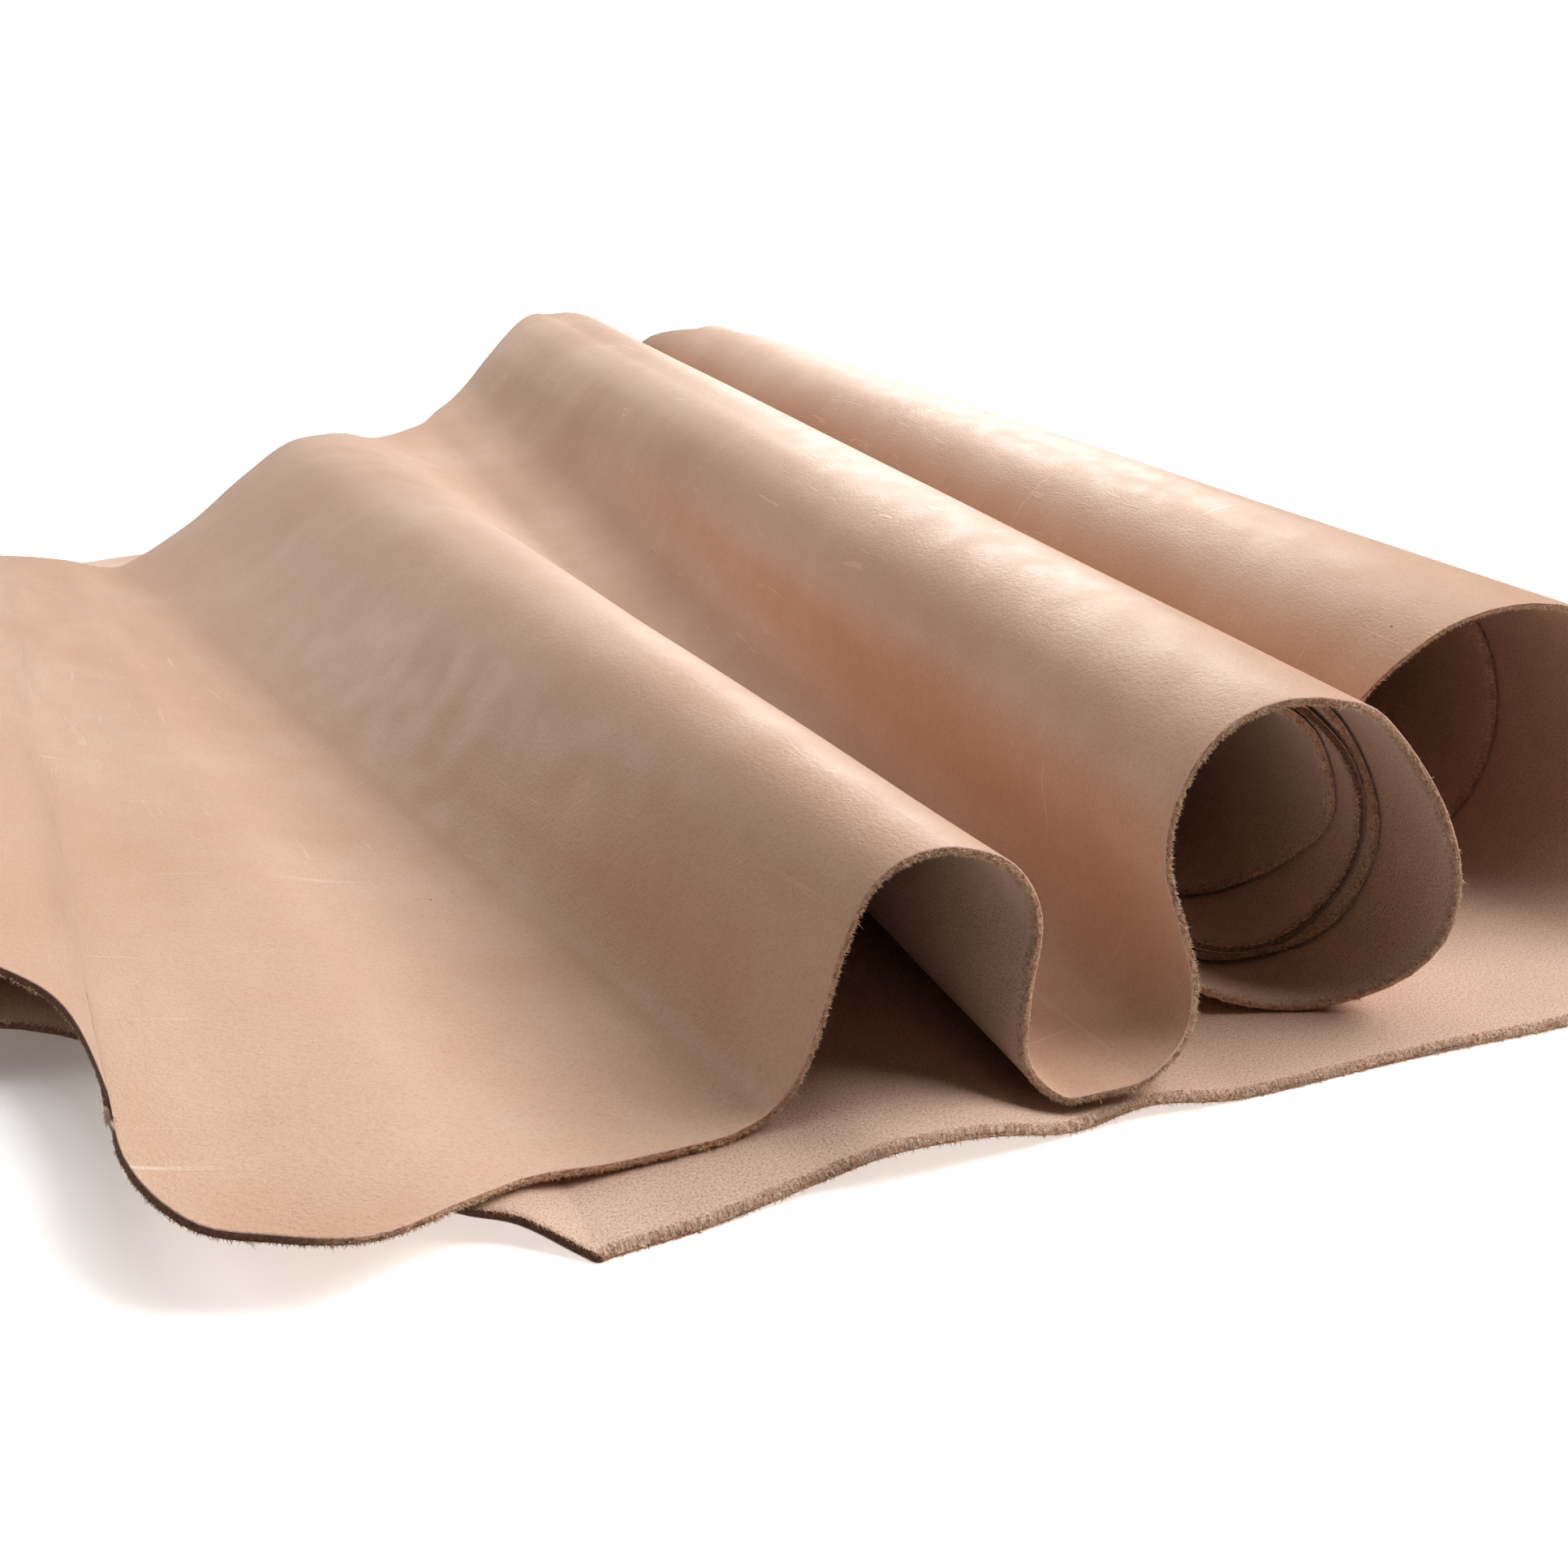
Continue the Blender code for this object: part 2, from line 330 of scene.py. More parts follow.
def edge_depths(edges, angle):
    """The near and far y of a roll's leather at an angle."""
    angles, near_y, far_y = np.array(edges, float).T
    return np.interp(angle, angles, near_y), np.interp(angle, angles, far_y)


def roll_stations(roll, edges, angles, from_bottom):
    """A station every TURN_STEP degrees, from the outside of the roll to its inner end."""
    stations = []
    for angle in np.arange(angles[0], angles[1] + 1, TURN_STEP):
        station = []
        for y in edge_depths(edges, angle):
            x, z, radius = roll_at(roll, y, angle)
            across, up = radius * sin(radians(angle)), radius * cos(radians(angle))
            if from_bottom:
                station += [x + across, z - up, y]
            else:
                station += [x - up, z + across, y]
        stations.append(station + [0])
    return stations


def smoothed(stations, steps):
    """Adds stations on a smooth curve through all of them, with its own steps in each stretch."""
    points = np.array(stations, float)
    gaps = np.linalg.norm(np.diff(points[:, :2], axis=0), axis=1)
    gaps += np.linalg.norm(np.diff(points[:, 3:5], axis=0), axis=1)
    knots = np.concatenate([[0], np.cumsum(np.sqrt(gaps))])
    slopes = np.gradient(points, knots, axis=0)
    result = []
    for i, count in enumerate(steps):
        span = knots[i + 1] - knots[i]
        for t in np.arange(count) / count:
            result.append(
                (2 * t**3 - 3 * t**2 + 1) * points[i]
                + (t**3 - 2 * t**2 + t) * span * slopes[i]
                + (3 * t**2 - 2 * t**3) * points[i + 1]
                + (t**3 - t**2) * span * slopes[i + 1]
            )
    result.append(points[-1])
    return np.array(result)


def sheet_points(stations, cuts):
    """Points of the middle of the leather, a row for each station and a column for each cut."""
    near = stations[:, None, [0, 2, 1]]
    far = stations[:, None, [3, 5, 4]]
    share = np.array(cuts)[None, :, None]
    points = near + (far - near) * share
    lift = stations[:, None, 6] * np.clip(1 - share[..., 0] / LIFT_REACH, 0, 1) ** 2
    points[..., 2] = np.maximum(points[..., 2] + lift, THICKNESS / 2)
    return points * MM


def placed(points):
    """The points turned so that the rolls lie along Y, and centred over the origin."""
    lean = radians(ROLL_LEAN)
    x, y = points[..., 0].copy(), points[..., 1].copy()
    points[..., 0] = x * cos(lean) + y * sin(lean)
    points[..., 1] = y * cos(lean) - x * sin(lean)
    for axis in (0, 1):
        side = points[..., axis]
        side -= (side.min() + side.max()) / 2
    return points


def cleanness(opening, folds, tight):
    """1 where the near cut is clean and dark, for each station, and 0 where it is rough."""
    clean = np.zeros(len(opening) + len(folds) + len(tight))
    first = len(opening) + BOTTOM_CORNER_ROW
    last = len(opening) + len(BOTTOM_LAYER) + len(LEFT_FOLD) + TOP_CORNER_ROW
    clean[first:last] = 1
    angles = TIGHT_ROLL_ANGLES[0] + TURN_STEP * np.arange(len(tight))
    smooth_turn = (angles > CLEAN_TURN[0]) & (angles < CLEAN_TURN[1])
    clean[len(opening) + len(folds):][smooth_turn] = 1
    return clean


def fine_stations():
    """Stations of the fine sheet. Columns as in the tables, then cleanness, slack and on top."""
    opening = roll_stations(OPEN_ROLL, OPEN_ROLL_EDGES, OPEN_ROLL_ANGLES, True)[::-1]
    folds = [list(fold) for fold in (*BOTTOM_LAYER, *LEFT_FOLD, *LOW_PART, *HUMP, *VALLEY_AND_RISE)]
    tight = roll_stations(TIGHT_ROLL, TIGHT_ROLL_EDGES, TIGHT_ROLL_ANGLES, False)
    slack = [SWELL_IN_ROLLS] * len(opening) + [1] * len(folds) + [SWELL_IN_ROLLS] * len(tight)
    on_top = np.arange(len(slack)) >= len(opening) + len(BOTTOM_LAYER)
    stations = np.column_stack([
        np.array(opening + folds + tight, float),
        cleanness(opening, folds, tight),
        slack,
        on_top,
    ])
    steps = [FINE_TURN_STEPS] * (len(opening) - 1)
    steps += [FINE_FOLD_STEPS] * (len(folds) + 1)
    steps += [FINE_TURN_STEPS] * (len(tight) - 1)
    fine = smoothed(stations, steps)
    fine[:, 7:] = np.clip(fine[:, 7:], 0, 1)
    return fine


def fine_cuts():
    """Shares of the way from the near edge to the far edge, close together at both edges."""
    spacing = np.linspace(NEAR_SPACING, FAR_SPACING, FINE_CUTS)
    places = np.concatenate([[0], np.cumsum(spacing)])
    places /= places[-1]
    beside = np.array(EDGE_CUTS)
    return np.sort(np.concatenate([places, beside, 1 - beside]))


def unit(vectors):
    """The vectors at length 1."""
    return vectors / np.maximum(np.linalg.norm(vectors, axis=-1, keepdims=True), 1e-12)


def hide_places(points):
    """Each point's place on the flat hide: metres along it and metres across it."""
    middle = points[:, points.shape[1] // 2]
    along = np.concatenate([[0], np.cumsum(np.linalg.norm(np.diff(middle, axis=0), axis=1))])
    along = np.broadcast_to(along[:, None], points.shape[:2])
    return along, points[..., 1]


def swell(along, across):
    """The soft unevenness at places on the flat hide, in metres."""
    height = np.zeros(along.shape)
    for wave_along, wave_across, size, shift in SWELLS:
        height += size * np.sin(2 * pi * (along / wave_along + across / wave_across) + shift)
    return height * MM


class Hide:
    """The fine sheet's middle surface, its normals and its places on the flat hide."""

    def __init__(self):
        stations = fine_stations()
        self.points = placed(sheet_points(stations, fine_cuts()))
        self.clean, slack, on_top = stations[:, 7:].T
        self.near_roll_over = (1 - self.clean) * (1 - (1 - TOP_ROLL_OVER) * on_top)
        self.along, self.across = hide_places(self.points)
        self.normals = self.flesh_normals()
        lifted = swell(self.along, self.across) * slack[:, None]
        self.points = self.points + self.normals * lifted[..., None]
        self.normals = self.flesh_normals()

    def flesh_normals(self):
        """Unit normals that point out of the flesh side."""
        return unit(np.cross(np.gradient(self.points, axis=1), np.gradient(self.points, axis=0)))

    def side(self, share):
        """The surface at a share of the thickness from the flesh side."""
        return self.points + self.normals * (0.5 - share) * THICKNESS * MM

    def edge(self, far):
        """Column, outward direction and rough share of one edge."""
        if far:
            column, inner = -1, -2
            rough = np.full(len(self.points), FAR_ROUGH)
        else:
            column, inner = 0, 1
            rough = 1 - self.clean
        outward = unit(self.points[:, column] - self.points[:, inner])
        return column, outward, rough

    def roll_over(self, far):
        """How much the nap rolls over at one edge, for each station."""
        return np.full(len(self.points), FAR_ROLL_OVER) if far else self.near_roll_over


def nap_drop(distance, amount):
    """How far the flesh side has rolled over at a distance from a cut, in millimetres."""
    reach = np.clip(1 - distance / NAP_REACH, 0, 1)
    return NAP_DROP * amount * (1 - np.sqrt(1 - reach**2))


def edge_rows(hide, far, chance):
    """Rows of points across the cut edge, from the flesh side to the grain side."""
    column, outward, rough = hide.edge(far)
    start = nap_drop(0, hide.roll_over(far)) / THICKNESS
    unevenness = CLEAN_UNEVEN + (1 - CLEAN_UNEVEN) * rough
    rows = []
    for share, bulge, uneven in EDGE_PROFILE:
        level = start + (1 - start) * share
        out = bulge + uneven * unevenness * chance.uniform(-1, 1, len(rough))
        below = (0.5 - level) * THICKNESS * MM
        at = hide.points[:, column] + hide.normals[:, column] * below[:, None]
        rows.append(at + outward * (out * MM)[:, None])
    return rows


def flesh_side(hide):
    """The flesh surface, which rolls over a little at rough edges."""
    surface = hide.side(0)
    for far in (False, True):
        column = hide.edge(far)[0]
        distance = np.linalg.norm(hide.points - hide.points[:, [column]], axis=2) / MM
        drop = nap_drop(distance, hide.roll_over(far)[:, None])
        surface = surface - hide.normals * (drop * MM)[..., None]
    return surface


def loop_of(hide, chance):
    """Closed loops round the sheet, one a station: flesh side, far cut, grain side, near cut.

    Returns the points, each point's place on the flat hide with its depth from the flesh side,
    and the finish of the strip that starts at each point of a loop.
    """
    flesh, grain = flesh_side(hide), hide.side(1)
    far_rows = edge_rows(hide, True, chance)
    near_rows = edge_rows(hide, False, chance)[::-1]
    columns = flesh.shape[1]
    loop = [flesh[:, j] for j in range(columns)] + far_rows
    loop += [grain[:, j] for j in range(columns - 1, -1, -1)] + near_rows
    depths = [0.0] * columns + [row[0] for row in EDGE_PROFILE]
    depths += [1.0] * columns + [row[0] for row in EDGE_PROFILE[::-1]]
    order = list(range(columns)) + [columns - 1] * len(far_rows)
    order += list(range(columns - 1, -1, -1)) + [0] * len(near_rows)
    places = np.stack([
        hide.along[:, order],
        hide.across[:, order],
        np.broadcast_to(np.array(depths) * THICKNESS * MM, (len(flesh), len(order))),
    ], axis=2)
    finish = [FLESH] * (columns - 1) + [CUT] * (len(far_rows) + 1)
    finish += [GRAIN] * (columns - 1) + [CUT] * (len(near_rows) + 1)
    points = np.stack(loop, axis=1)
    points[..., 2] = np.maximum(points[..., 2], 0)
    return points, places, finish


def quads_between(rows, size):
    """Faces between neighbouring closed loops of a size."""
    start = np.arange(size)
    after = (start + 1) % size
    base = (np.arange(rows - 1) * size)[:, None]
    faces = np.stack([base + start, base + after, base + size + after, base + size + start], axis=2)
    return faces.reshape(-1, 4)


def end_caps(rows, columns, size):
    """Faces that close the first and the last loop, between their two sides."""
    flesh = np.arange(columns)
    grain = size - len(EDGE_PROFILE) - 1 - flesh
    first = np.stack([flesh[:-1], grain[:-1], grain[1:], flesh[1:]], axis=1)
    last = first[:, ::-1] + (rows - 1) * size
    return np.concatenate([first, last])


def edge_caps(rows, columns, size):
    """The many-sided faces that close both ends of the cut edges' bulges."""
    count = len(EDGE_PROFILE)
    far = list(range(columns - 1, columns + count + 1))
    near = list(range(2 * columns + count - 1, size)) + [0]
    faces = []
    for ring in (far, near):
        faces.append(ring[::-1])
        faces.append([index + (rows - 1) * size for index in ring])
    return faces


def add_attribute(mesh, name, kind, values):
    """Stores a value for each point of a mesh, for a material to read."""
    attribute = mesh.attributes.new(name, kind, "POINT")
    key = "vector" if kind == "FLOAT_VECTOR" else "value"
    attribute.data.foreach_set(key, np.ascontiguousarray(values, np.float32).ravel())


def make_sheet(hide, materials, chance):
    """The leather as one closed mesh with its three finishes."""
    points, places, finish = loop_of(hide, chance)
    rows, size, _ = points.shape
    columns = hide.points.shape[1]
    sides = quads_between(rows, size)
    caps = end_caps(rows, columns, size)
    corners = edge_caps(rows, columns, size)
    mesh = bpy.data.meshes.new("hide")
    faces = sides.tolist() + caps.tolist() + corners
    mesh.from_pydata(points.reshape(-1, 3).tolist(), [], faces)
    for material in materials:
        mesh.materials.append(material)
    kinds = np.concatenate([np.tile(finish, rows - 1), np.full(len(caps) + len(corners), CUT)])
    mesh.polygons.foreach_set("material_index", kinds.astype(np.int32))
    add_attribute(mesh, "hide_place", "FLOAT_VECTOR", places)
    add_attribute(mesh, "clean_cut", "FLOAT", np.repeat(hide.clean, size))
    near = np.linalg.norm(places[..., 1:2] - places[:, :1, 1:2], axis=2)
    add_attribute(mesh, "from_edge", "FLOAT", near)
    mesh.shade_smooth()
    mesh.validate()
    sheet = bpy.data.objects.new("hide", mesh)
    bpy.context.scene.collection.objects.link(sheet)
    return sheet


def spots(hide, far, densities, chance):
    """Random places along one long edge: the row, the share of the way to the next, cleanness."""
    column = hide.edge(far)[0]
    lengths = np.linalg.norm(np.diff(hide.points[:, column], axis=0), axis=1)
    ends = np.cumsum(lengths)
    rough, clean, far_density = densities
    most = far_density if far else rough
    marks = np.sort(chance.uniform(0, ends[-1], int(ends[-1] / MM * most)))
    row = np.minimum(np.searchsorted(ends, marks), len(lengths) - 1)
    share = (marks - ends[row] + lengths[row]) / lengths[row]
    cleanness = np.zeros(len(row)) if far else hide.clean[row]
    kept = chance.uniform(0, 1, len(row)) < 1 - cleanness * (1 - clean / rough)
    return row[kept], share[kept][:, None], cleanness[kept]


def edge_frame(hide, far, row, share):
    """Points of the edge's middle line, and its outward, flesh-side and lengthwise directions."""
    column, outward, _ = hide.edge(far)
    line = hide.points[:, column]
    at = line[row] + (line[row + 1] - line[row]) * share
    return at, outward[row], hide.normals[row, column], unit(line[row + 1] - line[row])


def spikes(roots, directions, lengths, radius):
    """Straight three-sided spikes without a base. Returns points and faces."""
    side = unit(np.cross(directions, np.array(ASKEW)))
    other = np.cross(directions, side)
    ring = [roots + (side * cos(angle) + other * sin(angle)) * radius * MM for angle in SPOKES]
    points = np.stack(ring + [roots + directions * lengths[:, None] * MM], axis=1)
    corners = np.array([(0, 1, 3), (1, 2, 3), (2, 0, 3)])
    faces = corners[None] + (np.arange(len(roots)) * 4)[:, None, None]
    return points.reshape(-1, 3), faces.reshape(-1, 3)


def hairs(roots, directions, lengths, bends, radius):
    """Three-sided tapering hairs with one bend. Returns points and faces."""
    side = unit(np.cross(directions, bends + 1e-6))
    other = unit(np.cross(directions, side))
    middle = roots + directions * (lengths * 0.5)[:, None] * MM
    tip = middle + unit(directions + bends) * (lengths * 0.5)[:, None] * MM
    rings = []
    for centre, thickness in ((roots, 1.0), (middle, HAIR_TAPER)):
        for angle in SPOKES:
            spoke = side * cos(angle) + other * sin(angle)
            rings.append(centre + spoke * radius * MM * thickness)
    points = np.stack(rings + [tip], axis=1)
    corners = []
    for k in range(3):
        after = (k + 1) % 3
        corners += [(k, after, 3 + k), (after, 3 + after, 3 + k), (3 + k, 3 + after, 6)]
    faces = np.array(corners)[None] + (np.arange(len(roots)) * 7)[:, None, None]
    return points.reshape(-1, 3), faces.reshape(-1, 3)


def root_depths(hide, far, row, clean, draws):
    """Where fibres are rooted, as shares of the thickness from the flesh side."""
    start = nap_drop(0, hide.roll_over(far)[row]) / THICKNESS
    return start + (ROOT_DEEPEST - start) * draws * (1 - CLEAN_SHALLOW * clean)


def edge_fuzz(hide, far, chance):
    """Short stiff hairs all over the cut, most of them at its flesh side."""
    row, share, clean = spots(hide, far, FUZZ, chance)
    at, outward, normal, along = edge_frame(hide, far, row, share)
    count = len(row)
    depth = root_depths(hide, far, row, clean, chance.beta(*FUZZ_DEPTHS, count))
    lean = chance.normal(0, 1, (count, 3))
    roots = at + normal * ((0.5 - depth) * THICKNESS * MM)[:, None] + outward * (ROOT_OUT * MM)
    up = FUZZ_LEAN_UP * lean[:, :1] + FUZZ_FAN * (0.5 - depth)[:, None]
    directions = unit(outward + normal * up + along * FUZZ_LEAN_ALONG * lean[:, 1:2])
    lengths = chance.uniform(*FUZZ_LENGTH, count)
    return spikes(roots, directions, lengths, FUZZ_RADIUS)


def nap_fuzz(hide, chance):
    """Hairs of the nap on the flesh side, where it rolls over beside the rough near cut."""
    row, share, _ = spots(hide, False, NAP_FUZZ, chance)
    at, outward, normal, along = edge_frame(hide, False, row, share)
    count = len(row)
    inward = chance.uniform(0, 1, count) ** NAP_CROWDING * NAP_REACH
    sunk = nap_drop(inward, hide.roll_over(False)[row])
    roots = at - outward * (inward * MM)[:, None]
    roots += normal * ((0.5 * THICKNESS - sunk - NAP_ROOT_DEPTH) * MM)[:, None]
    lean = chance.normal(0, 1, (count, 2))
    up = NAP_UP + NAP_UP_SPREAD * lean[:, :1]
    directions = unit(outward * NAP_OUT + normal * up + along * NAP_ALONG * lean[:, 1:])
    return spikes(roots, directions, chance.uniform(*FUZZ_LENGTH, count), FUZZ_RADIUS)


def edge_tufts(hide, far, chance):
    """Small bundles of longer hairs that stick out of the cut, and a few long strays."""
    row, share, clean = spots(hide, far, TUFTS, chance)
    members = chance.integers(*TUFT_HAIRS, len(row))
    owner = np.repeat(np.arange(len(row)), members)
    at, outward, normal, along = (value[owner] for value in edge_frame(hide, far, row, share))
    count = len(owner)
    depth = root_depths(hide, far, row, clean, chance.beta(*TUFT_DEPTHS, len(row)))[owner]
    heading = chance.normal(0, 1, (len(row), 3))[owner]
    own = chance.normal(0, 1, (count, 3))
    roots = at + normal * ((0.5 - depth) * THICKNESS * MM)[:, None]
    roots += (own * TUFT_SPREAD + outward * ROOT_OUT) * MM
    up = normal * TUFT_LEAN_UP * heading[:, :1]
    directions = unit(outward + up + along * TUFT_LEAN_ALONG * heading[:, 1:2] + own * TUFT_FAN)
    lengths = np.repeat(chance.uniform(*HAIR_LENGTH, len(row)), members)
    lengths *= chance.uniform(*TUFT_LENGTHS, count)
    stray = chance.uniform(0, 1, count) < STRAY_SHARE
    lengths[stray] = chance.uniform(HAIR_LENGTH[1], STRAY_LENGTH, stray.sum())
    bends = TUFT_BEND * heading + chance.normal(0, BEND_SPREAD, (count, 3))
    return hairs(roots, directions, lengths, bends, HAIR_RADIUS)


def make_fibres(name, groups, material):
    """One piece from groups of points and faces."""
    mesh = bpy.data.meshes.new(name)
    points = np.concatenate([group[0] for group in groups])
    points[:, 2] = np.maximum(points[:, 2], 0)
    shifts = np.cumsum([0] + [len(group[0]) for group in groups[:-1]])
    faces = np.concatenate([group[1] + shift for group, shift in zip(groups, shifts)])
    mesh.from_pydata(points.tolist(), [], faces.tolist())
    mesh.materials.append(material)
    mesh.shade_smooth()
    fibres = bpy.data.objects.new(name, mesh)
    bpy.context.scene.collection.objects.link(fibres)
    return fibres


class Nodes:
    """Adds nodes to a material's tree and joins them."""

    def __init__(self, name):
        self.material = bpy.data.materials.new(name)
        self.material.use_nodes = True
        self.tree = self.material.node_tree
        self.surface = self.tree.nodes["Principled BSDF"]

    def add(self, kind, inputs=(), **settings):
        node = self.tree.nodes.new(kind)
        for key, value in settings.items():
            setattr(node, key, value)
        for key, value in dict(inputs).items():
            self.join(value, node.inputs[key])
        return node

    def join(self, value, socket):
        """Links a socket, or sets a plain value."""
        if isinstance(value, bpy.types.NodeSocket):
            self.tree.links.new(value, socket)
        else:
            socket.default_value = value

    def place(self, stretch=(1, 1, 1)):
        """The point's place on the flat hide, in metres, stretched along each axis."""
        read = self.add("ShaderNodeAttribute", attribute_name="hide_place")
        scaled = self.add("ShaderNodeVectorMath", {0: read.outputs["Vector"], 1: stretch},
                          operation="MULTIPLY")
        return scaled.outputs["Vector"]

    def amount(self, name):
        """A value stored with the mesh."""
        return self.add("ShaderNodeAttribute", attribute_name=name).outputs["Fac"]

    def noise(self, scale, detail=2.0, rough=0.5, distortion=0.0, place=None):
        node = self.add("ShaderNodeTexNoise", {
            "Vector": place or self.place(), "Scale": scale, "Detail": detail,
            "Roughness": rough, "Distortion": distortion,
        })
        return node.outputs["Fac"]

    def cells(self, scale, feature="F1", dimensions="3D"):
        """The distance to the nearest of many scattered points."""
        node = self.add("ShaderNodeTexVoronoi", {
            "Vector": self.place(), "Scale": scale,
        }, feature=feature, voronoi_dimensions=dimensions)
        return node.outputs["Distance"]

    def span(self, value, low, high, to_low=0.0, to_high=1.0):
        """The value moved smoothly from one range to another."""
        node = self.add("ShaderNodeMapRange", {
            "Value": value, "From Min": low, "From Max": high,
            "To Min": to_low, "To Max": to_high,
        }, interpolation_type="SMOOTHSTEP")
        return node.outputs["Result"]

    def math(self, operation, first, second):
        node = self.add("ShaderNodeMath", {0: first, 1: second}, operation=operation)
        return node.outputs["Value"]

    def blend(self, amount, first, second):
        """Two colours mixed."""
        node = self.add("ShaderNodeMix", data_type="RGBA")
        factor = [socket for socket in node.inputs if socket.enabled and socket.type == "VALUE"][0]
        colours = [socket for socket in node.inputs if socket.enabled and socket.type == "RGBA"]
        self.join(amount, factor)
        self.join(first, colours[0])
        self.join(second, colours[1])
        return [socket for socket in node.outputs if socket.type == "RGBA"][0]

    def bump(self, height, distance, strength, under=None):
        node = self.add("ShaderNodeBump", {
            "Height": height, "Distance": distance, "Strength": strength,
        })
        if under is not None:
            self.join(under, node.inputs["Normal"])
        return node.outputs["Normal"]


def linear(colour):
    """A colour of 0 to 255 as it looks on the screen, as Blender's linear colour."""
    return (*[((value / 255 + 0.055) / 1.055) ** 2.4 for value in colour], 1.0)


def grain_leather():
    """The smooth side: pebble grain, clouds, faint scratches, faint wrinkles and a few specks."""
    n = Nodes("grain")
    clouds = n.span(n.noise(7, 3, 0.55, 0.4), 0.3, 0.7)
    blotches = n.span(n.noise(38, 4, 0.6), 0.3, 0.75)
    colour = n.blend(clouds, linear(GRAIN_SHADE), linear(GRAIN_LIGHT))
    colour = n.blend(n.math("MULTIPLY", blotches, 0.35), colour, linear(GRAIN_BLOTCH))
    pores = n.span(n.noise(1300, 2, 0.6), 0.35, 0.5)
    pores = n.math("SUBTRACT", 1.0, pores)
    colour = n.blend(n.math("MULTIPLY", pores, 0.14), colour, linear(PORE))
    curls = n.noise(780, 2, 0.5, 1.6)
    colour = n.blend(n.span(curls, 0.5, 0.36, 0.0, 0.2), colour, linear(CURL))
    scratches = n.math(
        "MULTIPLY",
        n.span(n.noise(1, 3, 0.5, 0.15, n.place((5, 260, 1))), 0.66, 0.73),
        n.span(n.noise(9, 2), 0.5, 0.62),
    )
    colour = n.blend(n.math("MULTIPLY", scratches, 0.5), colour, linear(SCRATCH))
    wrinkles = n.math(
        "MULTIPLY",
        n.span(n.noise(1, 3, 0.55, 0.9, n.place((150, 24, 1))), 0.62, 0.72),
        n.span(n.noise(5, 2), 0.5, 0.6),
    )
    colour = n.blend(n.math("MULTIPLY", wrinkles, 0.3), colour, linear(WRINKLE))
    specks = n.math("LESS_THAN", n.cells(26), 0.016)
    colour = n.blend(n.math("MULTIPLY", specks, 0.75), colour, linear(SPECK))
    n.join(colour, n.surface.inputs["Base Color"])
    sheen = n.span(n.noise(55, 3), 0.3, 0.7, 0.40, 0.52)
    n.join(sheen, n.surface.inputs["Roughness"])
    n.surface.inputs["Specular IOR Level"].default_value = 0.42
    n.surface.inputs["Sheen Weight"].default_value = 0.18
    n.surface.inputs["Sheen Roughness"].default_value = 0.35
    pebbles = n.cells(620, "SMOOTH_F1", "2D")
    height = n.math("ADD", curls, n.math("MULTIPLY", pebbles, -0.5))
    normal = n.bump(n.noise(120, 3, 0.6), 0.0006, 0.25)
    normal = n.bump(wrinkles, 0.0006, 0.3, normal)
    normal = n.bump(height, 0.0003, 0.5, normal)
    n.join(normal, n.surface.inputs["Normal"])
    return n.material


def flesh_leather():
    """The napped side: short suede fibres, with painted shade in their hollows and in furrows beside
    the cut, and painted light on their tips.
    """
    n = Nodes("flesh")
    nap = n.noise(1400, 4, 0.66)
    patches = n.span(n.noise(11, 4, 0.6, 0.5), 0.3, 0.7)
    colour = n.blend(patches, linear(FLESH_SHADE), linear(FLESH_LIGHT))
    # Painted shade: the nap's hollows, where its bump dips, are darkened.
    hollows = n.span(nap, 0.36, 0.5, 1, 0)
    colour = n.blend(n.math("MULTIPLY", hollows, 0.55), colour, linear(NAP_HOLLOW_SHADE))
    # Painted light: the nap's tips, where its bump rises, are lightened.
    tips = n.span(nap, 0.54, 0.68)
    colour = n.blend(n.math("MULTIPLY", tips, 0.6), colour, linear(NAP_TIP_LIGHT))
    # Painted shade: the nap's furrows within a few millimetres of the near cut are darkened.
    beside = n.span(n.amount("from_edge"), 0.0003, 0.0026, 1, 0)
    furrows = n.span(n.noise(1, 3, 0.6, 0.5, n.place((1500, 420, 1))), 0.4, 0.56, 1, 0)
    furrows = n.math("MULTIPLY", furrows, beside)
    colour = n.blend(n.math("MULTIPLY", furrows, 0.5), colour, linear(NAP_FURROW_SHADE))
    n.join(colour, n.surface.inputs["Base Color"])
    n.surface.inputs["Roughness"].default_value = 0.92
    n.surface.inputs["Specular IOR Level"].default_value = 0.25
    n.surface.inputs["Sheen Weight"].default_value = 0.35
    n.surface.inputs["Sheen Roughness"].default_value = 0.5
    n.surface.inputs["Sheen Tint"].default_value = SHEEN_TINT
    normal = n.bump(n.noise(330, 3, 0.6), 0.001, 0.3)
    normal = n.bump(furrows, -0.0008, 0.5, normal)
    normal = n.bump(nap, 0.0006, 0.5, normal)
    n.join(normal, n.surface.inputs["Normal"])
    return n.material


